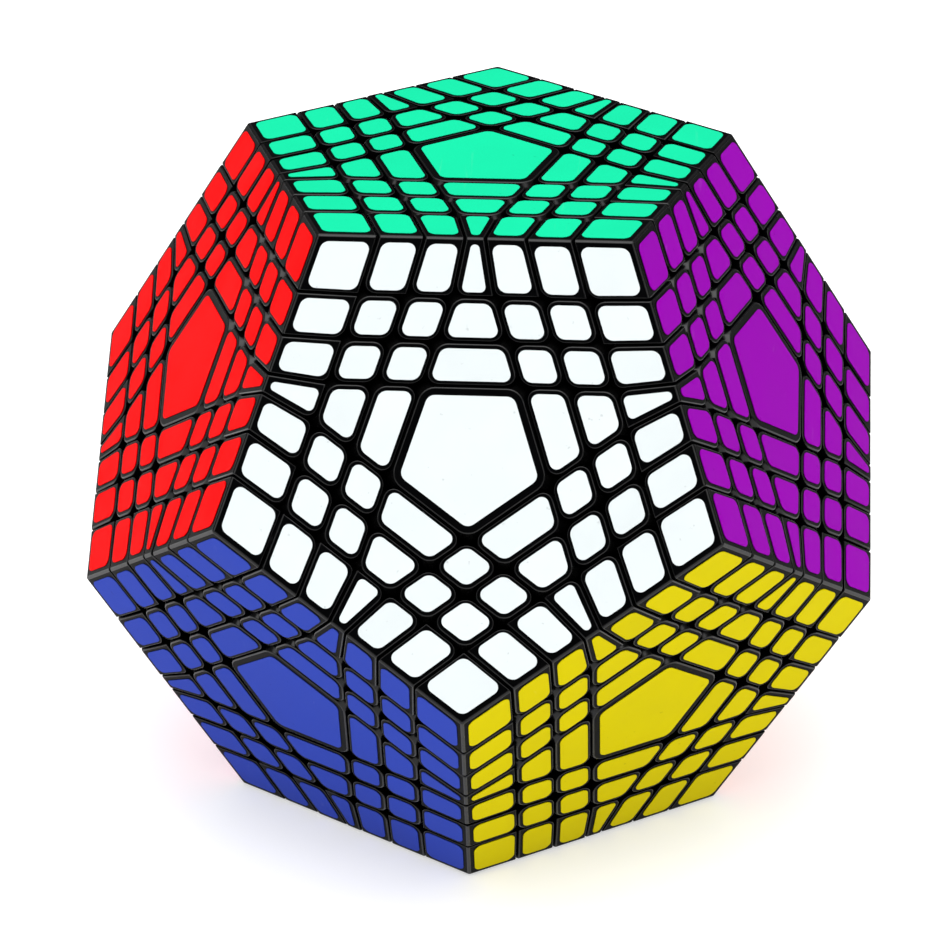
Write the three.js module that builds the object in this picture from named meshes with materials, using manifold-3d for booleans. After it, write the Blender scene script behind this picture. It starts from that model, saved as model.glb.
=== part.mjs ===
// A seven-layer twisty puzzle in the shape of a regular dodecahedron. Millimetres, +Z up.
// The origin is the middle of the face that it rests on. Three faces that don't touch each
// other, green, yellow and pink, turn here in three layers each. The other nine faces and the
// core stay put.
import * as THREE from "three";
import { mergeVertices } from "three/addons/utils/BufferGeometryUtils.js";
import Module from "manifold-3d";

// The dodecahedron.
const EDGE = 57;
const GOLDEN = (1 + Math.sqrt(5)) / 2;
const INRADIUS = (EDGE * GOLDEN ** 2) / (2 * Math.sqrt(3 - GOLDEN));
const FACE_ANGLE = Math.atan(2); // between the normals of two faces that share an edge
const FIFTH_TURN = (2 * Math.PI) / 5;

// The three cuts below each face, which part its layers. A cut is flat round the face's axis
// and rises a little beyond its bend, so that the narrow middle edge pieces keep their width.
const CUT_DEPTHS = [0.171 * EDGE, 0.299 * EDGE, 0.423 * EDGE];
const CUT_RISES = [0.005 * EDGE, 0.0075 * EDGE, 0.023 * EDGE]; // at the dodecahedron's edges
const GAP = 0.3; // between neighbouring pieces

// The fixed centre pieces and the face pieces round them.
const TILE_THICKNESS = 3.2;
const FIXED_FACE_DEPTH = 6.5; // of the face pieces on a face that stays put
const STEM_RADIUS = 5.7;
const STEM_BORE = 4.3;
const STEM_FLOOR = 2.5;
const STEM_CLEARANCE = 0.5;

// The core, its posts and what holds the centre pieces on them.
const HUB_RADIUS = 13;
const POST_RADIUS = 3.5;
const POST_END = 27; // from the puzzle's centre
const SCREW_BORE = 1.8;
const SCREW_BORE_END = 15;
const CAVITY_RADIUS = 29.5; // round the core
const SHAFT_RADIUS = 1.5;
const SHAFT_END = 16;
const HEAD_RADIUS = 3.8;
const HEAD_HEIGHT = 2.4;
const WIRE_RADIUS = 0.35;
const SPRING_RADIUS = 2.7;
const SPRING_HEIGHT = 9.5;
const SPRING_TURNS = 4.5;

// Fineness of the round surfaces.
const CUT_SIDES = 40;
const STEM_SIDES = 12;
const SPRING_STEPS = 32;
const REACH = 200; // longer than anything in the puzzle
const WIDE = 90; // wider than the puzzle's own radius

const STEM_END = POST_END + GAP;
const SPRING_START = STEM_END + STEM_FLOOR + GAP;
const HEAD_START = SPRING_START + SPRING_HEIGHT + GAP;

const wasm = await Module();
wasm.setup();

// ---- Solids -------------------------------------------------------------------------------

function solid(geometry) {
  const bare = geometry.clone();
  bare.deleteAttribute("normal");
  bare.deleteAttribute("uv");
  const merged = mergeVertices(bare, 1e-4);
  return new wasm.Manifold(
    new wasm.Mesh({
      numProp: 3,
      vertProperties: merged.attributes.position.array,
      triVerts: new Uint32Array(merged.index.array),
    }),
  );
}

function geometryOf(made) {
  const { vertProperties, triVerts } = made.getMesh();
  const geometry = new THREE.BufferGeometry();
  geometry.setAttribute("position", new THREE.BufferAttribute(vertProperties, 3));
  geometry.setIndex(new THREE.BufferAttribute(triVerts, 1));
  geometry.computeVertexNormals();
  return geometry;
}

// The turn that takes the top face to another face: +Z to its normal, and -Y, where the top
// face's first neighbour is, towards a neighbour of its own.
function turnTo(normal) {
  const first = faces.find((f) => touches(f.normal, normal)).normal;
  const away = normal.clone().multiplyScalar(first.dot(normal)).sub(first).normalize();
  const basis = new THREE.Matrix4().makeBasis(away.clone().cross(normal), away, normal);
  return new THREE.Quaternion().setFromRotationMatrix(basis);
}

// A solid turned about Z, from [radius, height] points that start and end on the axis.
function turned(points, sides) {
  const profile = points.map(([radius, height]) => new THREE.Vector2(radius, height));
  return new THREE.LatheGeometry(profile, sides).rotateX(Math.PI / 2);
}

function rod(radius, from, to, sides) {
  return turned([[0, from], [radius, from], [radius, to], [0, to]], sides);
}

// Everything further out than a plane square to a normal.
function beyond(normal, distance) {
  const block = new THREE.BoxGeometry(REACH, REACH, REACH);
  block.translate(0, 0, distance + REACH / 2).applyQuaternion(turnTo(normal));
  return solid(block);
}

// The radius, about a face's axis, where a cut meets the row next to the neighbouring edges.
function bendRadius(depth) {
  const apothem = EDGE / (2 * Math.tan(FIFTH_TURN / 2)) + depth / Math.tan(FACE_ANGLE);
  const halfSide = apothem * Math.tan(FIFTH_TURN / 2);
  const row = CUT_DEPTHS[0] / Math.sin(FACE_ANGLE) / Math.sin(FIFTH_TURN);
  return Math.hypot(apothem, halfSide - row);
}

function outerRadius(depth) {
  const apothem = EDGE / (2 * Math.tan(FIFTH_TURN / 2)) + depth / Math.tan(FACE_ANGLE);
  return apothem / Math.cos(FIFTH_TURN / 2);
}

// Everything past a face's cut: one surface of revolution about the face's axis, so that the
// layers turn on each other.
function pastCut(normal, cut, shift) {
  const height = INRADIUS - CUT_DEPTHS[cut] + shift;
  const bend = bendRadius(CUT_DEPTHS[cut]);
  const slope = CUT_RISES[cut] / (outerRadius(CUT_DEPTHS[cut]) - bend);
  const rim = height + slope * (WIDE - bend);
  const points = [[0, height], [bend, height], [WIDE, rim], [WIDE, REACH / 2], [0, REACH / 2]];
  return solid(turned(points, CUT_SIDES).applyQuaternion(turnTo(normal)));
}

function cut(from, ...tools) {
  return tools.reduce((rest, tool) => rest.subtract(tool), from);
}

function joined(...pieces) {
  return pieces.reduce((all, piece) => all.add(piece));
}

// ---- Faces --------------------------------------------------------------------------------

function direction(polar, azimuth) {
  const flat = Math.sin(polar);
  return new THREE.Vector3(flat * Math.sin(azimuth), -flat * Math.cos(azimuth), Math.cos(polar));
}

function ringOfFaces(names, polar, start) {
  return names.map((name, i) => ({ name, normal: direction(polar, start + i * FIFTH_TURN) }));
}

const faces = [
  { name: "green", normal: direction(0, 0) },
  ...ringOfFaces(["white", "purple", "light_blue", "cream", "red"], FACE_ANGLE, 0),
  ...ringOfFaces(
    ["yellow", "orange", "grey", "pink", "blue"],
    Math.PI - FACE_ANGLE,
    FIFTH_TURN / 2,
  ),
  { name: "lime", normal: direction(Math.PI, 0) },
];
const TURNING = ["green", "yellow", "pink"];

function touches(a, b) {
  return a.dot(b) > 0.1 && a.dot(b) < 0.9;
}

function neighbours(normal) {
  return faces.filter((f) => touches(f.normal, normal));
}

function turns(face) {
  return TURNING.includes(face.name);
}

const UP = faces[0].normal;
const everywhere = solid(new THREE.BoxGeometry(REACH, REACH, REACH));
const outside = cut(everywhere, ...faces.map((f) => beyond(f.normal, INRADIUS)));

// ---- Pieces of a turning face, made for the top face ---------------------------------------

// What lies inside the first cuts of a face's five neighbours.
function insideRim(shift) {
  return cut(everywhere, ...neighbours(UP).map((f) => pastCut(f.normal, 0, shift)));
}

// The pentagonal middle of a face, down to a depth.
function middle(shift, depth) {
  const thirdCut = INRADIUS - CUT_DEPTHS[2] + shift;
  return cut(beyond(UP, INRADIUS - depth), ...neighbours(UP).map((f) => beyond(f.normal, thirdCut)));
}

const stemHole = solid(rod(STEM_RADIUS + STEM_CLEARANCE, 0, REACH / 2, STEM_SIDES));
const centrePocket = middle(GAP / 2, TILE_THICKNESS + GAP).add(stemHole);

function layerOne() {
  return outside.intersect(pastCut(UP, 0, GAP / 2));
}

function cornersAndEdges() {
  return cut(layerOne(), insideRim(GAP / 2));
}

function facePieces() {
  return cut(layerOne().intersect(insideRim(-GAP / 2)), centrePocket);
}

function deeperLayer(index) {
  const past = outside.intersect(pastCut(UP, index, GAP / 2));
  return cut(past, pastCut(UP, index - 1, -GAP / 2), stemHole);
}

function centrePiece() {
  const tile = outside.intersect(middle(-GAP / 2, TILE_THICKNESS));
  const stem = solid(rod(STEM_RADIUS, STEM_END, INRADIUS - TILE_THICKNESS / 2, STEM_SIDES));
  const bore = rod(STEM_BORE, STEM_END + STEM_FLOOR, INRADIUS - TILE_THICKNESS, STEM_SIDES);
  const screwHole = rod(SCREW_BORE, 0, HEAD_START, STEM_SIDES);
  return cut(joined(tile, stem), solid(bore), solid(screwHole));
}

// ---- Core, screws and springs ---------------------------------------------------------------

function core() {
  const hub = solid(new THREE.IcosahedronGeometry(HUB_RADIUS, 2));
  const turn = (geometry, f) => solid(geometry.clone().applyQuaternion(turnTo(f.normal)));
  const post = rod(POST_RADIUS, 0, POST_END, STEM_SIDES);
  const bore = rod(SCREW_BORE, SCREW_BORE_END, POST_END + GAP, STEM_SIDES);
  const body = joined(hub, ...faces.map((f) => turn(post, f)));
  return cut(body, ...faces.map((f) => turn(bore, f)));
}

function screw() {
  const head = HEAD_START + HEAD_HEIGHT;
  const points = [
    [0, SHAFT_END],
    [SHAFT_RADIUS, SHAFT_END + SHAFT_RADIUS],
    [SHAFT_RADIUS, HEAD_START],
    [HEAD_RADIUS, HEAD_START],
    [HEAD_RADIUS, HEAD_START + HEAD_HEIGHT / 3],
    [HEAD_RADIUS / 1.5, head],
    [0, head],
  ];
  return turned(points, STEM_SIDES);
}

class Helix extends THREE.Curve {
  getPoint(t) {
    const angle = t * SPRING_TURNS * 2 * Math.PI;
    const rise = WIRE_RADIUS + t * (SPRING_HEIGHT - 2 * WIRE_RADIUS);
    return new THREE.Vector3(
      SPRING_RADIUS * Math.cos(angle),
      SPRING_RADIUS * Math.sin(angle),
      SPRING_START + rise,
    );
  }
}

// The wire's section is a triangle, fine enough for a spring hidden in a stem.
function spring() {
  const corner = (i) => {
    const angle = (i * 2 * Math.PI) / 3;
    return new THREE.Vector2(WIRE_RADIUS * Math.cos(angle), WIRE_RADIUS * Math.sin(angle));
  };
  const wire = new THREE.Shape([corner(0), corner(1), corner(2)]);
  return new THREE.ExtrudeGeometry(wire, { steps: SPRING_STEPS, extrudePath: new Helix() });
}

// ---- Pieces that stay put -------------------------------------------------------------------

function placed(made, face) {
  const turn = new THREE.Matrix4().makeRotationFromQuaternion(turnTo(face.normal));
  return made.transform(turn.elements);
}

const turningCaps = faces.filter(turns).map((f) => pastCut(f.normal, 2, -GAP / 2));

// The slab of face pieces on a face that stays put, inside the rows along its edges.
function fixedSlab(face, shift) {
  const slab = beyond(face.normal, INRADIUS - FIXED_FACE_DEPTH - shift);
  const rows = neighbours(face.normal).filter((f) => !turns(f));
  return cut(slab, ...rows.map((f) => pastCut(f.normal, 0, shift)));
}

function fixedFacePieces(face) {
  const pocket = placed(centrePocket, face);
  return cut(outside, ...turningCaps, pocket).intersect(fixedSlab(face, -GAP / 2));
}

function fixedCornersAndEdges() {
  const slabs = faces.filter((f) => !turns(f)).map((f) => fixedSlab(f, GAP / 2));
  const holes = faces.map((f) => placed(stemHole, f));
  const cavity = solid(new THREE.IcosahedronGeometry(CAVITY_RADIUS, 3));
  return cut(outside, ...turningCaps, ...slabs, ...holes, cavity);
}

// ---- The assembly ----------------------------------------------------------------------------

const COLOURS = {
  green: 0x1bf0a4,
  white: 0xf4f7fa,
  purple: 0x9a1fb0,
  light_blue: 0x7fd3f2,
  cream: 0xf2e6b8,
  red: 0xf71c20,
  yellow: 0xe0d400,
  orange: 0xff8a1c,
  grey: 0x9a9da1,
  pink: 0xf78fc4,
  blue: 0x3a45c0,
  lime: 0x9be22c,
};
const plastic = (color) => new THREE.MeshStandardMaterial({ color, roughness: 0.45, metalness: 0 });
const steel = (color) => new THREE.MeshStandardMaterial({ color, roughness: 0.3, metalness: 1 });
const BLACK = 0x141416;

function part(name, geometry, material) {
  const mesh = new THREE.Mesh(geometry, material);
  mesh.name = name;
  return mesh;
}

const shared = {
  centre: geometryOf(centrePiece()),
  screw: screw(),
  spring: spring(),
  cornersAndEdges: geometryOf(cornersAndEdges()),
  facePieces: geometryOf(facePieces()),
  second: geometryOf(deeperLayer(1)),
  third: geometryOf(deeperLayer(2)),
};

// Everything that is alike on every face, in a group turned to that face.
function faceGroup({ name, normal }) {
  const group = new THREE.Group();
  group.quaternion.copy(turnTo(normal));
  group.add(
    part(`${name}_centre`, shared.centre, plastic(COLOURS[name])),
    part(`${name}_screw`, shared.screw, steel(0xb9bcc0)),
    part(`${name}_spring`, shared.spring, steel(0xc9ccd0)),
  );
  return group;
}

function addTurningLayers(group, { name }) {
  group.add(
    part(`${name}_corners_and_edges`, shared.cornersAndEdges, plastic(BLACK)),
    part(`${name}_face_pieces`, shared.facePieces, plastic(COLOURS[name])),
    part(`${name}_second_layer`, shared.second, plastic(BLACK)),
    part(`${name}_third_layer`, shared.third, plastic(BLACK)),
  );
}

const group = new THREE.Group();
group.position.z = INRADIUS;
group.add(
  part("core", geometryOf(core()), plastic(0x2a2a2d)),
  part("fixed_corners_and_edges", geometryOf(fixedCornersAndEdges()), plastic(BLACK)),
);
for (const face of faces) {
  const onFace = faceGroup(face);
  group.add(onFace);
  if (turns(face)) {
    addTurningLayers(onFace, face);
  } else {
    const pieces = geometryOf(fixedFacePieces(face));
    group.add(part(`${face.name}_face_pieces`, pieces, plastic(COLOURS[face.name])));
  }
}

export default group;
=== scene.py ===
import math
import random

import bmesh
import bpy
import numpy as np
from mathutils import Matrix, Vector


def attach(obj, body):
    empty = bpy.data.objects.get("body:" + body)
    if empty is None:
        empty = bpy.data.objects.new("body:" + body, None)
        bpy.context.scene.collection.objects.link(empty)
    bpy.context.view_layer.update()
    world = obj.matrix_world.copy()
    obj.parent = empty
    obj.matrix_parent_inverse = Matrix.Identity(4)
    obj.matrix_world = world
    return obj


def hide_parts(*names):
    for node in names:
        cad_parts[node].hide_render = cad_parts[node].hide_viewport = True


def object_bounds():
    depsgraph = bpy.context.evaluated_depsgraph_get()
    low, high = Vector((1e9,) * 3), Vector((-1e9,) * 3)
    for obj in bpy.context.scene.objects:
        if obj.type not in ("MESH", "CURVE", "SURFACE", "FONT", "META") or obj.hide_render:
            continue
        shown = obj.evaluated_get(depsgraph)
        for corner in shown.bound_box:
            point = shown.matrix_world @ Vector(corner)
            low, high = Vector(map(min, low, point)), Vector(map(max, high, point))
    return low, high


# The looks of the seven-layer dodecahedron puzzle: its 542 visible pieces, each with its own
# rounded plastic body and stickers, the plates and shell behind them, and the better finish of
# the CAD core, screws and springs. Metres, row frame.

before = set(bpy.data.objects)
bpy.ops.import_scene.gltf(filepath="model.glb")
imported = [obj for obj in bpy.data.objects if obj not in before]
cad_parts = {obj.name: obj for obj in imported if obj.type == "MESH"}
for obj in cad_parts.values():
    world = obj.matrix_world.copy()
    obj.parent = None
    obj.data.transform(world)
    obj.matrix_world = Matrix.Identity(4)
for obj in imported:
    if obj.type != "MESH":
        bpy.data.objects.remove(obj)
cad_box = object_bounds()

# ---- Driving dimensions -----------------------------------------------------------------------

MM = 0.001
GOLDEN = (1 + math.sqrt(5)) / 2
INRADIUS = (cad_box[1].z - cad_box[0].z) / 2
EDGE = 2 * INRADIUS * math.sqrt(3 - GOLDEN) / GOLDEN**2
FACE_ANGLE = math.atan(2)  # between the normals of two faces that share an edge
FIFTH_TURN = 2 * math.pi / 5

CUT_DEPTHS = (0.171 * EDGE, 0.299 * EDGE, 0.423 * EDGE)
CUT_RISES = (0.005 * EDGE, 0.0075 * EDGE, 0.023 * EDGE)  # at the dodecahedron's edges
RISE_RELIEF = 0.3 * MM  # at the lowest corner above a third cut
HALF_SLIT = 0.25 * MM

STICKER_THICKNESS = 0.15 * MM
SURFACE = INRADIUS - STICKER_THICKNESS  # of the black plastic
BLOCK_MARGIN = 0.74 * MM  # from a piece's side to its sticker
CORNER_MARGIN = 0.6 * MM
WING_MARGIN = 0.7 * MM
CENTRE_MARGIN = 1.32 * MM
MIDDLE_MARGIN = 0.95 * MM  # at the slanted sides of a middle edge piece
EDGE_MARGIN = 1.3 * MM  # from one of the dodecahedron's edges to a sticker
ACUTE_RADIUS = 1.3 * MM  # of a sticker's corner below a right angle
OBTUSE_RADIUS = 1.8 * MM
TIP_RADIUS = 0.95 * MM  # of a middle edge piece's sticker
STICKER_ROUND = 0.04 * MM

RIM_FILLET = 0.2 * MM  # round the outside of each piece
EDGE_FILLET = 0.42 * MM  # along the dodecahedron's edges

STEM_RADIUS = 5.7 * MM
STEM_BORE = 4.3 * MM
STEM_HOLE = 6.2 * MM
STEM_START = 27.3 * MM  # from the puzzle's centre
STEM_FLOOR = 2.5 * MM
SCREW_HOLE = 1.8 * MM
CAVITY_RADIUS = 29.5 * MM
PLATE_FILLET = 0.4 * MM

STEM_HOLE_DEPTH = 2 * INRADIUS - CAVITY_RADIUS  # from outside a face into the core's cavity
PIVOT_SIDES = 48  # of a stem's ring and of its hole

SAME_PLACE = 1e-7  # metres, for points and planes that are one
SAME_WAY = 0.999  # cosine, for directions that are one

DIM_SKY = 0.12  # strength of the studio dome near the horizon
BRIGHT_SKY = 2.0  # and overhead
DIM_BELOW, BRIGHT_ABOVE = 0.5, 0.85  # heights on the dome, as sines
FLOOR_GLOW = 0.5
FLOOR_HALF = 4.0
LIGHTS = {  # place in metres, width in metres, power in watts
    "overhead": ((0.0, -0.35, 1.8), 1.6, 16.0),
    "left": ((-1.3, -1.1, 0.9), 0.8, 5.0),
    "right": ((1.3, -1.1, 0.9), 0.8, 5.0),
}

LENS = 189.15  # millimetres, on a 36 mm sensor
SENSOR = 36.0
CAMERA_PLACE = (39.18, -867.86, 409.7)  # millimetres, from the puzzle's centre
CAMERA_RIGHT = (0.99876, 0.04956, 0.00536)
CAMERA_UP = (-0.02607, 0.42786, 0.90347)

SEED = 7
SHIFT = 0.05 * MM  # how far a piece sits out of its true place
TILT = math.radians(0.22)

# ---- Faces ------------------------------------------------------------------------------------


def direction(polar, azimuth):
    flat = math.sin(polar)
    return np.array([flat * math.sin(azimuth), -flat * math.cos(azimuth), math.cos(polar)])


UPPER = ("white", "purple", "light_blue", "cream", "red")
LOWER = ("yellow", "orange", "grey", "pink", "blue")
NAMES = ("green", *UPPER, *LOWER, "lime")
NORMALS = (
    [direction(0, 0)]
    + [direction(FACE_ANGLE, i * FIFTH_TURN) for i in range(5)]
    + [direction(math.pi - FACE_ANGLE, (i + 0.5) * FIFTH_TURN) for i in range(5)]
    + [direction(math.pi, 0)]
)
TURNING = ("green", "yellow", "pink")
LAYER_NAMES = {1: "first_layer", 2: "second_layer", 3: "third_layer"}
FIXED = "core_and_fixed_faces"
TOP = 0


def touching(a, b):
    return 0.1 < a @ b < 0.9


def neighbours(face):
    return [i for i, normal in enumerate(NORMALS) if touching(normal, NORMALS[face])]


def face_turns():
    """The 60 turns of a dodecahedron. Each takes the top face and its first neighbour to
    some face and one of that face's neighbours."""
    top, first = NORMALS[TOP], NORMALS[1]
    start = np.column_stack([top, first, np.cross(top, first)])
    turns = []
    for a in NORMALS:
        for b in NORMALS:
            if touching(a, b):
                turns.append(np.column_stack([a, b, np.cross(a, b)]) @ np.linalg.inv(start))
    return turns


# ---- Piece shapes, made at the top face -------------------------------------------------------
# A piece is described by the layer it lies in, counted inwards from each face near it: layers
# 1, 2 and 3 turn with that face, and 4 is beyond its third cut.

KINDS = {
    "corners": {TOP: 1, 1: 1, 2: 1},
    "outer_wings": {TOP: 1, 1: 1, 2: 2},
    "inner_wings": {TOP: 1, 1: 1, 2: 3},
    "middle_edges": {TOP: 1, 1: 1, 2: 4, 5: 4},
    "corner_blocks": {TOP: 1, 1: 2, 2: 2},
    "left_blocks": {TOP: 1, 1: 2, 2: 3},
    "right_blocks": {TOP: 1, 1: 3, 2: 2},
    "inner_blocks": {TOP: 1, 1: 3, 2: 3},
    "outer_bars": {TOP: 1, 1: 2, 2: 4, 5: 4},
    "inner_bars": {TOP: 1, 1: 3, 2: 4, 5: 4},
    "centres": {TOP: 1, 1: 4, 2: 4, 3: 4, 4: 4, 5: 4},
}
FAMILIES = {
    "corners": "corners",
    "outer_wings": "wings",
    "inner_wings": "wings",
    "middle_edges": "middle_edges",
    "centres": "centre_cap",
}
MARGINS = {
    "corners": CORNER_MARGIN,
    "wings": WING_MARGIN,
    "middle_edges": WING_MARGIN,
    "blocks": BLOCK_MARGIN,
    "centre_cap": CENTRE_MARGIN,
}


def outer_faces(kind):
    return [face for face, layer in KINDS[kind].items() if layer == 1]


def family_of(kind):
    return FAMILIES.get(kind, "blocks")


def meeting_point(*planes):
    return np.linalg.solve(np.array([n for n, _ in planes]), np.array([d for _, d in planes]))


def cut_distance(index):
    return INRADIUS - CUT_DEPTHS[index]


def cut_plane(face, index, others):
    """A face's cut, as (normal, distance). In the row along the edge between two other faces
    it rises towards that edge."""
    normal = NORMALS[face]
    level = cut_distance(index)
    if len(others) != 2:
        return normal, level
    a, b = (NORMALS[i] for i in others)
    row = cut_distance(0)
    inner_a = meeting_point((a, INRADIUS), (b, row), (normal, level))
    inner_b = meeting_point((b, INRADIUS), (a, row), (normal, level))
    outer = meeting_point((a, INRADIUS), (b, INRADIUS), (normal, level + CUT_RISES[index]))
    tilted = np.cross(inner_a - outer, inner_b - outer)
    tilted *= np.sign(tilted @ normal) / np.linalg.norm(tilted)
    return tilted, tilted @ outer


def walls_of(kind):
    """The half spaces normal . x <= distance that bound a piece at its slits."""
    walls = []
    for face, layer in KINDS[kind].items():
        others = [i for i in outer_faces(kind) if i != face]
        if layer > 1:
            normal, distance = cut_plane(face, layer - 2, others)
            walls.append((normal, distance - HALF_SLIT))
        if layer < 4:
            normal, distance = cut_plane(face, layer - 1, others)
            walls.append((-normal, -distance - HALF_SLIT))
        if layer == 3 and len(others) == 2:
            level = cut_distance(2) + HALF_SLIT - RISE_RELIEF
            walls.append((-NORMALS[face], -level))
    return walls


def convex_solid(half_spaces):
    """A bmesh of the space inside all of the half spaces."""
    bm = bmesh.new()
    bmesh.ops.create_cube(bm, size=4 * INRADIUS)
    for normal, distance in half_spaces:
        bmesh.ops.bisect_plane(
            bm,
            geom=bm.verts[:] + bm.edges[:] + bm.faces[:],
            dist=1e-8,
            plane_co=Vector(normal * distance),
            plane_no=Vector(normal),
            clear_outer=True,
        )
        rim = [edge for edge in bm.edges if len(edge.link_faces) == 1]
        if rim:
            bmesh.ops.edgeloop_fill(bm, edges=rim)
    bmesh.ops.remove_doubles(bm, verts=bm.verts[:], dist=SAME_PLACE)
    bmesh.ops.recalc_face_normals(bm, faces=bm.faces[:])
    return bm


def bevel(bm, edges, offset, segments):
    if edges:
        bmesh.ops.bevel(
            bm,
            geom=edges,
            offset=offset,
            offset_type="OFFSET",
            segments=segments,
            profile=0.5,
            affect="EDGES",
            clamp_overlap=True,
        )
        bm.normal_update()


def round_plan_corners(bm, kind):
    """Rounds the corners that a piece shows from outside, each with its sticker's radius and
    margin."""
    normals = [Vector(NORMALS[i]) for i in outer_faces(kind)]
    jobs = []
    for edge in bm.edges:
        tops = [
            [n for n in normals if abs(v.co.dot(n) - SURFACE) < SAME_PLACE] for v in edge.verts
        ]
        if bool(tops[0]) == bool(tops[1]):
            continue
        up = (tops[0] or tops[1])[0]
        a, b = (face.normal for face in edge.link_faces)
        side_a, side_b = up.cross(a), up.cross(b)
        plan = math.pi - side_a.angle(side_b)
        radius = MARGINS[family_of(kind)] + (ACUTE_RADIUS if plan < math.pi / 2 else OBTUSE_RADIUS)
        run = edge.verts[0].co - edge.verts[1].co
        reach = radius / math.tan(plan / 2) * math.sin(run.angle(side_a))
        lengths = [e.calc_length() for e in edge.verts[0].link_edges if e != edge]
        lengths += [e.calc_length() for e in edge.verts[1].link_edges if e != edge]
        jobs.append((edge, min(reach, 0.45 * min(lengths))))
    marks = [(edge.verts[0].co + edge.verts[1].co, reach) for edge, reach in jobs]
    for middle, reach in marks:
        found = [
            e for e in bm.edges if (e.verts[0].co + e.verts[1].co - middle).length < SAME_PLACE
        ]
        bevel(bm, found, reach, 6)


def plastic_body(kind):
    """A piece's black body."""
    outer = outer_faces(kind)
    walls = walls_of(kind)
    bm = convex_solid([(NORMALS[i], SURFACE) for i in outer] + walls)
    round_plan_corners(bm, kind)
    normals = [Vector(NORMALS[i]) for i in outer]

    def on_outside(face, least):
        return max(face.normal.dot(n) for n in normals) > least

    ridges = [e for e in bm.edges if all(on_outside(f, SAME_WAY) for f in e.link_faces)]
    ridges = [e for e in ridges if e.link_faces[0].normal.dot(e.link_faces[1].normal) < 0.9]
    bevel(bm, ridges, EDGE_FILLET, 4)
    rim = [e for e in bm.edges if sum(on_outside(f, 0.7) for f in e.link_faces) == 1]
    bevel(bm, rim, RIM_FILLET, 3)
    # The rubbed faces are the fillets' outer parts: steeper than any wall, and not flat.
    wear = [float(on_outside(f, 0.5) and not on_outside(f, 0.9995)) for f in bm.faces]
    return taken(bm, wear)


def taken(bm, wear=None):
    """A bmesh's points, faces and wear as plain arrays. Frees it."""
    bm.verts.index_update()
    points = np.array([v.co[:] for v in bm.verts])
    faces = [[v.index for v in f.verts] for f in bm.faces]
    bm.free()
    return points, faces, wear or [0.0] * len(faces)


# ---- Stickers ---------------------------------------------------------------------------------


def clipped(polygon, normal, distance):
    """The part of a convex polygon inside a half plane."""
    kept = []
    for i, p in enumerate(polygon):
        q = polygon[(i + 1) % len(polygon)]
        a, b = p @ normal - distance, q @ normal - distance
        if a <= 0:
            kept.append(p)
        if a * b < 0:
            kept.append(p + (q - p) * a / (a - b))
    return kept


def rounded(polygon, tip, steps=7):
    """A convex polygon's outline with rounded corners."""
    outline = []
    for i, corner in enumerate(polygon):
        back = polygon[i - 1] - corner
        ahead = polygon[(i + 1) % len(polygon)] - corner
        room = 0.47 * min(np.linalg.norm(back), np.linalg.norm(ahead))
        back, ahead = back / np.linalg.norm(back), ahead / np.linalg.norm(ahead)
        half = math.acos(np.clip(back @ ahead, -1, 1)) / 2
        radius = tip or (ACUTE_RADIUS if half < math.pi / 4 else OBTUSE_RADIUS)
        radius = min(radius, room * math.tan(half))
        middle = corner + (back + ahead) / np.linalg.norm(back + ahead) * radius / math.sin(half)
        start = corner + back * radius / math.tan(half) - middle
        turn = math.pi - 2 * half
        for k in range(steps):
            c, s = math.cos(turn * k / (steps - 1)), math.sin(turn * k / (steps - 1))
            spoke = np.array([c * start[0] - s * start[1], s * start[0] + c * start[1]])
            outline.append(middle + spoke)
    return outline


def plane_axes(normal):
    u = np.cross(normal, NORMALS[1] if abs(normal @ NORMALS[1]) < 0.9 else NORMALS[3])
    u /= np.linalg.norm(u)
    return u, np.cross(normal, u)


def sticker(kind, face):
    """The sticker that a piece carries on one of its outer faces."""
    normal = NORMALS[face]
    u, v = plane_axes(normal)
    outer = [NORMALS[i] for i in outer_faces(kind)]
    size = 2 * EDGE
    polygon = [np.array(p) for p in ((-size, -size), (size, -size), (size, size), (-size, size))]
    for wall, distance in walls_of(kind):
        slanted = max(abs(wall @ n) for n in outer) < 0.99
        margin = MARGINS[family_of(kind)]
        if slanted and kind == "middle_edges":
            margin = MIDDLE_MARGIN
        flat = np.array([wall @ u, wall @ v])
        if np.linalg.norm(flat) < 1e-6:
            continue
        reach = (distance - wall @ normal * INRADIUS) / np.linalg.norm(flat) - margin
        polygon = clipped(polygon, flat / np.linalg.norm(flat), reach)
    for other in outer_faces(kind):
        if other != face:
            flat = np.array([NORMALS[other] @ u, NORMALS[other] @ v])
            reach = INRADIUS * (1 - NORMALS[other] @ normal) / np.linalg.norm(flat) - EDGE_MARGIN
            polygon = clipped(polygon, flat / np.linalg.norm(flat), reach)
    outline = rounded(polygon, TIP_RADIUS if kind == "middle_edges" else None)
    count = len(outline)
    centre = sum(outline) / count
    heights = (SURFACE - STICKER_THICKNESS / 5, INRADIUS - STICKER_ROUND, INRADIUS)
    insets = (0, 0, STICKER_ROUND)
    points = []
    for height, inset in zip(heights, insets):
        for p in outline:
            q = p + (centre - p) * inset / np.linalg.norm(centre - p)
            points.append(normal * height + u * q[0] + v * q[1])
    faces = [list(range(count))[::-1], list(range(2 * count, 3 * count))]
    for ring in range(2):
        for i in range(count):
            a, b = ring * count + i, ring * count + (i + 1) % count
            faces.append([a, b, b + count, a + count])
    return np.array(points), faces, [0.0] * len(faces)


# ---- Gathering pieces into objects ------------------------------------------------------------


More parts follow.
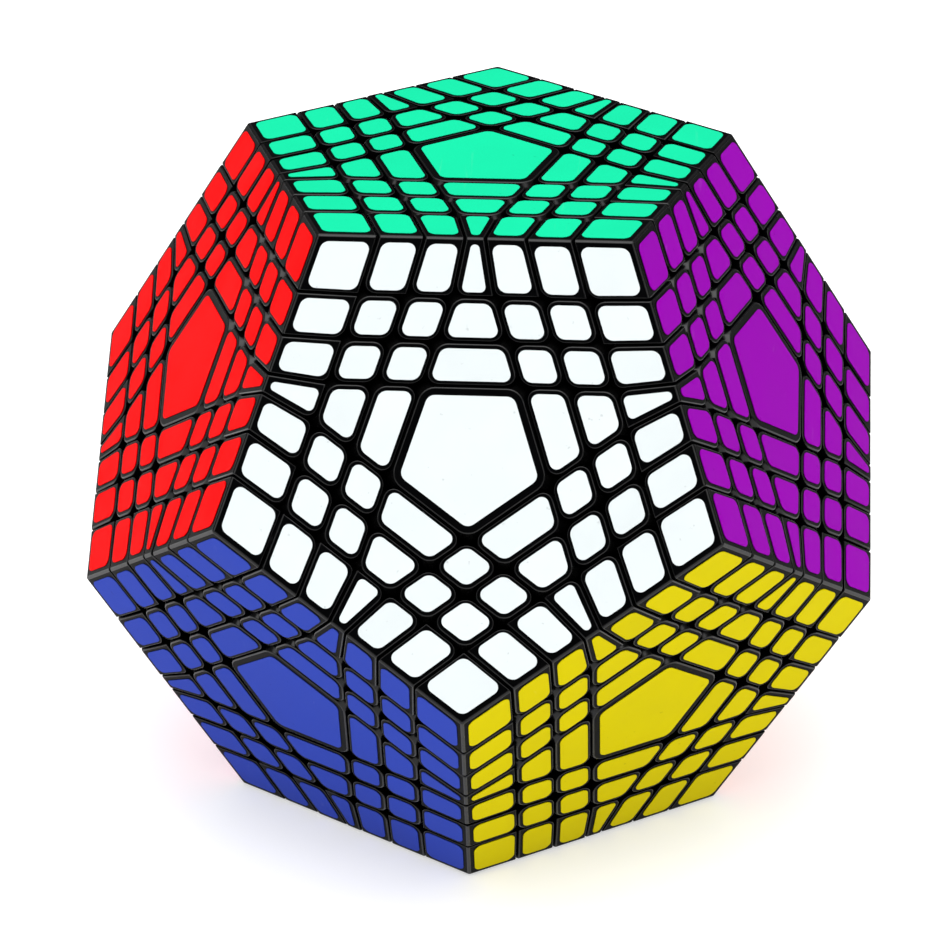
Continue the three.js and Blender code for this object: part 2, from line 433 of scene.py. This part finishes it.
class Batch:
    """Pieces that move together and share a finish, joined into one object."""

    def __init__(self, body, slot):
        self.body, self.slot = body, slot
        self.points, self.faces, self.wear, self.tones, self.nodes = [], [], [], [], []
        self.sharp = False

    def add(self, shape, turn, tone, nodes):
        points, faces, wear = shape
        start = sum(len(p) for p in self.points)
        self.points.append(points @ turn[:3, :3].T + turn[:3, 3])
        self.faces += [[i + start for i in face] for face in faces]
        self.wear += wear
        self.tones += [tone] * len(faces)
        self.nodes += [n for n in nodes if n not in self.nodes]

    def build(self, name):
        mesh = bpy.data.meshes.new(name)
        mesh.from_pydata(np.concatenate(self.points).tolist(), [], self.faces)
        mesh.polygons.foreach_set("use_smooth", [True] * len(mesh.polygons))
        for label, values in (("wear", self.wear), ("tone", self.tones)):
            attribute = mesh.attributes.new(label, "FLOAT", "FACE")
            attribute.data.foreach_set("value", values)
        if self.sharp:
            mesh.set_sharp_from_angle(angle=math.radians(40))
        mesh.materials.append(finish_of(self.slot))
        piece = bpy.data.objects.new(name, mesh)
        bpy.context.scene.collection.objects.link(piece)
        normals = piece.modifiers.new("flat_faces", "WEIGHTED_NORMAL")
        normals.keep_sharp = True
        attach(piece, self.body)
        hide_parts(*self.nodes)
        return piece


batches = {}


def batch(name, body, slot):
    return batches.setdefault(name, Batch(body, slot))


def body_of_piece(layers):
    """The body that turns a piece, from its layer below each face near it."""
    for face, layer in layers.items():
        if NAMES[face] in TURNING and layer in LAYER_NAMES:
            return f"{NAMES[face]}_{LAYER_NAMES[layer]}"
    return FIXED


def cad_node(kind, body, face):
    if kind == "centres":
        return f"{NAMES[face]}_centre"
    if "second" in body or "third" in body:
        return body
    on_edge = len(outer_faces(kind)) > 1
    if body == FIXED:
        return "fixed_corners_and_edges" if on_edge else f"{NAMES[face]}_face_pieces"
    return f"{NAMES[face] if not on_edge else body.split('_first')[0]}" + (
        "_corners_and_edges" if on_edge else "_face_pieces"
    )


dice = random.Random(SEED)


def placed(turn, centre):
    """A piece's place: the face turn, with a little play about the piece's own middle."""
    axis = Vector([dice.gauss(0, 1) for _ in range(3)]).normalized()
    play = np.array(Matrix.Rotation(dice.uniform(-TILT, TILT), 3, axis))
    middle = turn @ centre
    shift = np.array([dice.uniform(-SHIFT, SHIFT) for _ in range(3)])
    place = np.eye(4)
    place[:3, :3] = play @ turn
    place[:3, 3] = middle - play @ middle + shift + np.array([0, 0, INRADIUS])
    return place


def label_of(body):
    return "fixed" if body == FIXED else body


def add_pieces():
    turns = face_turns()
    for kind, layers in KINDS.items():
        shape = plastic_body(kind)
        stickers = {face: sticker(kind, face) for face in outer_faces(kind)}
        done = set()
        for turn in turns:
            moved = {
                int(np.argmax([n @ turn @ NORMALS[face] for n in NORMALS])): layer
                for face, layer in layers.items()
            }
            key = frozenset(moved.items())
            if key in done:
                continue
            done.add(key)
            body = body_of_piece(moved)
            top = int(np.argmax([n @ turn @ NORMALS[TOP] for n in NORMALS]))
            node = cad_node(kind, body, top)
            family = family_of(kind)
            label = label_of(body)
            if family in ("blocks", "centre_cap") and body == FIXED:
                label = NAMES[top]
            place = placed(turn, shape[0].mean(axis=0))
            tone = dice.random()
            batch(f"{label}_{family}", body, "black_plastic").add(shape, place, tone, [node])
            for face, foil in stickers.items():
                colour = NAMES[int(np.argmax([n @ turn @ NORMALS[face] for n in NORMALS]))]
                name = f"{label_of(body)}_{colour}_stickers"
                batch(name, body, f"{colour}_sticker").add(foil, place, dice.random(), [node])


# ---- Inside: stems, plates and shell ----------------------------------------------------------


def turn_to(face):
    for turn in face_turns():
        if (turn @ NORMALS[TOP]) @ NORMALS[face] > SAME_WAY:
            return turn


def still(turn):
    place = np.eye(4)
    place[:3, :3] = turn
    place[:3, 3] = (0, 0, INRADIUS)
    return place


def ring(profile):
    """A ring turned about Z from a closed profile of (radius, height) points."""
    points, faces = [], []
    count = len(profile)
    for i in range(PIVOT_SIDES):
        angle = 2 * math.pi * i / PIVOT_SIDES
        points += [(r * math.cos(angle), r * math.sin(angle), h) for r, h in profile]
        for j in range(count):
            a, b = i * count + j, i * count + (j + 1) % count
            ahead = (i + 1) % PIVOT_SIDES * count
            faces.append([a, ahead + j, ahead + (j + 1) % count, b])
    return np.array(points), faces, [0.0] * len(faces)


def stem():
    top = cut_distance(0) + HALF_SLIT + RIM_FILLET
    chamfer = 0.3 * MM
    return ring(
        [
            (SCREW_HOLE, STEM_START),
            (STEM_RADIUS - chamfer, STEM_START),
            (STEM_RADIUS, STEM_START + chamfer),
            (STEM_RADIUS, top),
            (STEM_BORE, top),
            (STEM_BORE, STEM_START + STEM_FLOOR),
            (SCREW_HOLE, STEM_START + STEM_FLOOR),
        ]
    )


def with_holes(bm, faces, cavity):
    """A solid with stem holes through it below some faces and, if asked, the core's cavity.
    Frees bm."""
    mesh = bpy.data.meshes.new("solid")
    bm.to_mesh(mesh)
    bm.free()
    body = bpy.data.objects.new("solid", mesh)
    tools = []
    for face in faces:
        tool = bmesh.new()
        place = Matrix(still(turn_to(face)).tolist())
        place.translation = Vector(NORMALS[face]) * INRADIUS
        bmesh.ops.create_cone(
            tool,
            cap_ends=True,
            segments=PIVOT_SIDES,
            radius1=STEM_HOLE,
            radius2=STEM_HOLE,
            depth=STEM_HOLE_DEPTH,
            matrix=place,
        )
        tools.append(tool)
    if cavity:
        tool = bmesh.new()
        bmesh.ops.create_icosphere(tool, subdivisions=4, radius=CAVITY_RADIUS)
        tools.append(tool)
    cutters = []
    for tool in tools:
        cutter = bpy.data.objects.new("tool", bpy.data.meshes.new("tool"))
        tool.to_mesh(cutter.data)
        tool.free()
        cutters.append(cutter)
        boolean = body.modifiers.new("hole", "BOOLEAN")
        boolean.operation, boolean.solver, boolean.object = "DIFFERENCE", "EXACT", cutter
    for o in (body, *cutters):
        bpy.context.scene.collection.objects.link(o)
    graph = bpy.context.evaluated_depsgraph_get()
    result = bmesh.new()
    result.from_mesh(body.evaluated_get(graph).to_mesh())
    for o in (body, *cutters):
        bpy.data.objects.remove(o)
    return taken(result)


def plate(face, index):
    """The pentagonal plate that carries the pieces of a second or third layer."""
    normal = NORMALS[face]
    half_spaces = [
        (normal, cut_distance(index - 1) - HALF_SLIT),
        (-normal, -cut_distance(index) - HALF_SLIT),
    ]
    half_spaces += [(NORMALS[i], cut_distance(0) - HALF_SLIT) for i in neighbours(face)]
    bm = convex_solid(half_spaces)
    bevel(bm, bm.edges[:], PLATE_FILLET, 2)
    return with_holes(bm, [face], False)


def shell():
    """What the fixed pieces stand on, round the core."""
    half_spaces = []
    for name, normal in zip(NAMES, NORMALS):
        half_spaces.append((normal, cut_distance(2 if name in TURNING else 0) - HALF_SLIT))
    bm = convex_solid(half_spaces)
    bevel(bm, bm.edges[:], PLATE_FILLET, 2)
    return with_holes(bm, range(len(NORMALS)), True)


def add_inner_parts():
    upright = np.eye(3)
    shape = stem()
    for face, name in enumerate(NAMES):
        body = f"{name}_first_layer" if name in TURNING else FIXED
        target = batch(f"{name}_stem", body, "black_plastic")
        target.add(shape, still(turn_to(face)), 0.5, [f"{name}_centre"])
        target.sharp = True
    for name in TURNING:
        for index in (1, 2):
            body = f"{name}_{LAYER_NAMES[index + 1]}"
            target = batch(f"{body}_plate", body, "black_plastic")
            target.add(plate(NAMES.index(name), index), still(upright), 0.5, [body])
            target.sharp = True
    target = batch("fixed_inner_shell", FIXED, "black_plastic")
    target.add(shell(), still(upright), 0.5, ["fixed_corners_and_edges"])
    target.sharp = True


# ---- Materials --------------------------------------------------------------------------------


def linear(hex_colour):
    channels = [int(hex_colour[i : i + 2], 16) / 255 for i in (0, 2, 4)]
    low = [c / 12.92 if c <= 0.04045 else ((c + 0.055) / 1.055) ** 2.4 for c in channels]
    return (*low, 1.0)


STICKERS = {
    "green": "14c590",
    "white": "d3dadb",
    "purple": "8b00a2",
    "light_blue": "63c3ec",
    "cream": "efe0a6",
    "red": "ee0003",
    "yellow": "cfc000",
    "orange": "f9770c",
    "grey": "8d9195",
    "pink": "f27fb6",
    "blue": "3145ab",
    "lime": "8bd91c",
}


class Finish:
    """A material's node tree, with short ways to add to it."""

    def __init__(self, name):
        self.material = bpy.data.materials.new(name)
        self.material.use_nodes = True
        self.nodes = self.material.node_tree.nodes
        self.links = self.material.node_tree.links
        self.shader = self.nodes["Principled BSDF"]
        self.place = self.nodes.new("ShaderNodeTexCoord").outputs["Object"]

    def set(self, **values):
        for name, value in values.items():
            self.shader.inputs[name.replace("_", " ")].default_value = value

    def link(self, output, target):
        self.links.new(output, target)

    def noise(self, scale, detail=2.0, roughness=0.5, stretch=None):
        texture = self.nodes.new("ShaderNodeTexNoise")
        texture.inputs["Scale"].default_value = scale
        texture.inputs["Detail"].default_value = detail
        texture.inputs["Roughness"].default_value = roughness
        source = self.place
        if stretch:
            mapping = self.nodes.new("ShaderNodeMapping")
            mapping.inputs["Scale"].default_value = stretch[0]
            mapping.inputs["Rotation"].default_value = stretch[1]
            self.link(source, mapping.inputs["Vector"])
            source = mapping.outputs["Vector"]
        self.link(source, texture.inputs["Vector"])
        return texture.outputs["Fac"]

    def attribute(self, name):
        node = self.nodes.new("ShaderNodeAttribute")
        node.attribute_name = name
        return node.outputs["Fac"]

    def math(self, operation, a, b):
        node = self.nodes.new("ShaderNodeMath")
        node.operation = operation
        for value, socket in zip((a, b), node.inputs):
            if isinstance(value, (int, float)):
                socket.default_value = value
            else:
                self.link(value, socket)
        return node.outputs["Value"]

    def span(self, value, low, high, to_low, to_high):
        node = self.nodes.new("ShaderNodeMapRange")
        self.link(value, node.inputs["Value"])
        for socket, number in zip(
            ("From Min", "From Max", "To Min", "To Max"), (low, high, to_low, to_high)
        ):
            node.inputs[socket].default_value = number
        return node.outputs["Result"]

    def mix(self, share, a, b):
        node = self.nodes.new("ShaderNodeMix")
        node.data_type = "RGBA"
        self.link(share, node.inputs["Factor"])
        colours = [s for s in node.inputs if s.type == "RGBA"]
        for value, socket in zip((a, b), colours):
            if isinstance(value, tuple):
                socket.default_value = value
            else:
                self.link(value, socket)
        return [s for s in node.outputs if s.type == "RGBA"][0]

    def bump(self, *layers):
        """Bump from (height, strength, distance) layers."""
        normal = None
        for height, strength, distance in layers:
            node = self.nodes.new("ShaderNodeBump")
            node.inputs["Strength"].default_value = strength
            node.inputs["Distance"].default_value = distance
            self.link(height, node.inputs["Height"])
            if normal:
                self.link(normal, node.inputs["Normal"])
            normal = node.outputs["Normal"]
        self.link(normal, self.shader.inputs["Normal"])


def shaded(colour, factor):
    return (*(min(1.0, c * factor) for c in colour[:3]), 1.0)


def black_plastic():
    """Satin injection-moulded ABS, polished a little where fingers rub its rims."""
    f = Finish("black_plastic")
    mottle = f.noise(140.0, 3.0)
    grain = f.noise(3600.0, 2.0)
    flow = f.noise(60.0, 2.0, stretch=((1.0, 0.35, 1.0), (0.3, 0.7, 0.2)))
    rubbed = f.math("MULTIPLY", f.attribute("wear"), f.span(f.noise(260.0), 0.35, 0.7, 0.2, 1.0))
    share = f.span(mottle, 0.3, 0.7, 0.0, 1.0)
    base = f.mix(share, (0.0005, 0.0006, 0.0008, 1), (0.0014, 0.0014, 0.0016, 1))
    base = f.mix(f.math("MULTIPLY", rubbed, 0.6), base, (0.004, 0.0038, 0.0036, 1))
    f.link(base, f.shader.inputs["Base Color"])
    rough = f.span(flow, 0.3, 0.7, 0.26, 0.34)
    rough = f.math("SUBTRACT", rough, f.math("MULTIPLY", rubbed, 0.1))
    f.link(rough, f.shader.inputs["Roughness"])
    gloss = f.span(f.attribute("wear"), 0.0, 1.0, 0.02, 0.28)
    f.link(gloss, f.shader.inputs["Specular IOR Level"])
    f.bump((grain, 0.12, 0.02 * MM), (mottle, 0.1, 0.05 * MM))
    return f.material


def sticker_vinyl(name):
    """Satin vinyl in one colour, with faint tone differences between stickers."""
    f = Finish(f"{name}_sticker")
    colour = linear(STICKERS[name])
    cloud = f.noise(90.0, 3.0)
    peel = f.noise(1500.0, 2.0)
    fibres = f.noise(500.0, 4.0, 0.6, stretch=((1.0, 0.08, 0.4), (0.4, 0.9, 0.2)))
    own_tone = f.math("MULTIPLY", f.attribute("tone"), 0.5)
    share = f.math("ADD", f.span(cloud, 0.3, 0.7, 0.0, 0.5), own_tone)
    base = f.mix(share, shaded(colour, 0.955), shaded(colour, 1.03))
    scuffs = f.span(fibres, 0.66, 0.74, 0.0, 0.25)
    pale = tuple(0.92 * c + 0.06 for c in colour[:3]) + (1.0,)
    base = f.mix(scuffs, base, pale)
    specks = f.span(f.noise(700.0, 3.0), 0.7, 0.76, 0.0, 0.5)
    base = f.mix(specks, base, shaded(colour, 0.6))
    f.link(base, f.shader.inputs["Base Color"])
    rough = f.span(cloud, 0.3, 0.7, 0.42, 0.5)
    rough = f.math("ADD", rough, f.math("MULTIPLY", scuffs, 0.25))
    f.link(rough, f.shader.inputs["Roughness"])
    f.set(IOR=1.46, Specular_IOR_Level=0.015)
    f.bump((peel, 0.08, 0.03 * MM), (fibres, 0.05, 0.02 * MM))
    return f.material


def core_plastic():
    f = Finish("core_plastic")
    mottle = f.noise(180.0, 3.0)
    share = f.span(mottle, 0.3, 0.7, 0.0, 1.0)
    base = f.mix(share, (0.03, 0.03, 0.033, 1), (0.05, 0.05, 0.053, 1))
    f.link(base, f.shader.inputs["Base Color"])
    f.link(f.span(mottle, 0.3, 0.7, 0.45, 0.6), f.shader.inputs["Roughness"])
    f.bump((f.noise(2500.0), 0.2, 0.03 * MM))
    return f.material


def steel(name, tint, stretch):
    """Zinc-plated or drawn steel, with fine lines and dull spots."""
    f = Finish(name)
    lines = f.noise(900.0, 3.0, 0.6, stretch=stretch)
    spots = f.noise(350.0, 3.0)
    base = f.mix(f.span(spots, 0.35, 0.7, 0.0, 1.0), tint, shaded(tint, 0.75))
    f.link(base, f.shader.inputs["Base Color"])
    f.link(f.span(lines, 0.3, 0.7, 0.22, 0.4), f.shader.inputs["Roughness"])
    f.set(Metallic=1.0)
    f.bump((lines, 0.1, 0.02 * MM))
    return f.material


finishes = {}


def finish_of(slot):
    if slot not in finishes:
        if slot == "black_plastic":
            finishes[slot] = black_plastic()
        elif slot == "core_plastic":
            finishes[slot] = core_plastic()
        elif slot == "screw_steel":
            finishes[slot] = steel(slot, (0.66, 0.67, 0.7, 1), ((1, 1, 6), (0, 0, 0)))
        elif slot == "spring_steel":
            finishes[slot] = steel(slot, (0.55, 0.56, 0.58, 1), ((3, 3, 1), (0, 0, 0)))
        else:
            finishes[slot] = sticker_vinyl(slot.removesuffix("_sticker"))
    return finishes[slot]


def finish_cad_nodes():
    for name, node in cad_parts.items():
        if node.hide_render:
            continue
        slot = "core_plastic"
        if name.endswith("_screw"):
            slot = "screw_steel"
        elif name.endswith("_spring"):
            slot = "spring_steel"
        for place in node.material_slots:
            place.material = finish_of(slot)


# ---- Camera, floor and light ------------------------------------------------------------------


def add_camera():
    """The photograph's view: about 3 degrees to one side and 25 degrees above, from 0.96 m."""
    data = bpy.data.cameras.new("camera")
    data.lens, data.sensor_width = LENS, SENSOR
    camera = bpy.data.objects.new("camera", data)
    bpy.context.scene.collection.objects.link(camera)
    right, up = Vector(CAMERA_RIGHT), Vector(CAMERA_UP)
    turn = Matrix((right, up, right.cross(up))).transposed().to_4x4()
    position = Vector(CAMERA_PLACE) * MM + Vector((0, 0, INRADIUS))
    camera.matrix_world = Matrix.Translation(position) @ turn
    bpy.context.scene.camera = camera


def add_floor():
    bm = bmesh.new()
    bmesh.ops.create_grid(bm, x_segments=8, y_segments=8, size=FLOOR_HALF)
    mesh = bpy.data.meshes.new("floor")
    bm.to_mesh(mesh)
    bm.free()
    f = Finish("floor_paper")
    base = f.mix(f.noise(30.0, 3.0), (0.63, 0.63, 0.63, 1), (0.65, 0.65, 0.65, 1))
    f.link(base, f.shader.inputs["Base Color"])
    f.set(Roughness=0.9, Specular_IOR_Level=0.1)
    f.set(Emission_Color=(1, 1, 1, 1), Emission_Strength=FLOOR_GLOW)
    mesh.materials.append(f.material)
    floor = bpy.data.objects.new("floor", mesh)
    bpy.context.scene.collection.objects.link(floor)


def add_light(name, place, size, power):
    data = bpy.data.lights.new(name, "AREA")
    data.shape, data.size, data.energy = "DISK", size, power
    light = bpy.data.objects.new(name, data)
    light.location = place
    light.rotation_mode = "QUATERNION"
    aim = Vector((0, 0, INRADIUS)) - Vector(place)
    light.rotation_quaternion = aim.to_track_quat("-Z", "Y")
    bpy.context.scene.collection.objects.link(light)


def add_dome():
    """A studio dome: bright overhead, dim from about 30 degrees above the horizon down."""
    world = bpy.data.worlds.new("studio")
    world.use_nodes = True
    nodes, links = world.node_tree.nodes, world.node_tree.links
    place = nodes.new("ShaderNodeTexCoord")
    parts = nodes.new("ShaderNodeSeparateXYZ")
    strength = nodes.new("ShaderNodeMapRange")
    strength.interpolation_type = "SMOOTHSTEP"
    for socket, number in zip(
        ("From Min", "From Max", "To Min", "To Max"),
        (DIM_BELOW, BRIGHT_ABOVE, DIM_SKY, BRIGHT_SKY),
    ):
        strength.inputs[socket].default_value = number
    background = nodes["Background"]
    background.inputs["Color"].default_value = (1, 1, 1, 1)
    links.new(place.outputs["Generated"], parts.inputs["Vector"])
    links.new(parts.outputs["Z"], strength.inputs["Value"])
    links.new(strength.outputs["Result"], background.inputs["Strength"])
    bpy.context.scene.world = world


def add_studio():
    add_floor()
    add_dome()
    for name, (place, size, power) in LIGHTS.items():
        add_light(name, place, size, power)
    settings = bpy.context.scene.view_settings
    settings.view_transform, settings.look = "Standard", "None"


# ---- Everything -------------------------------------------------------------------------------

add_camera()
add_studio()
add_pieces()
add_inner_parts()
for name, gathered in batches.items():
    gathered.build(name)
finish_cad_nodes()
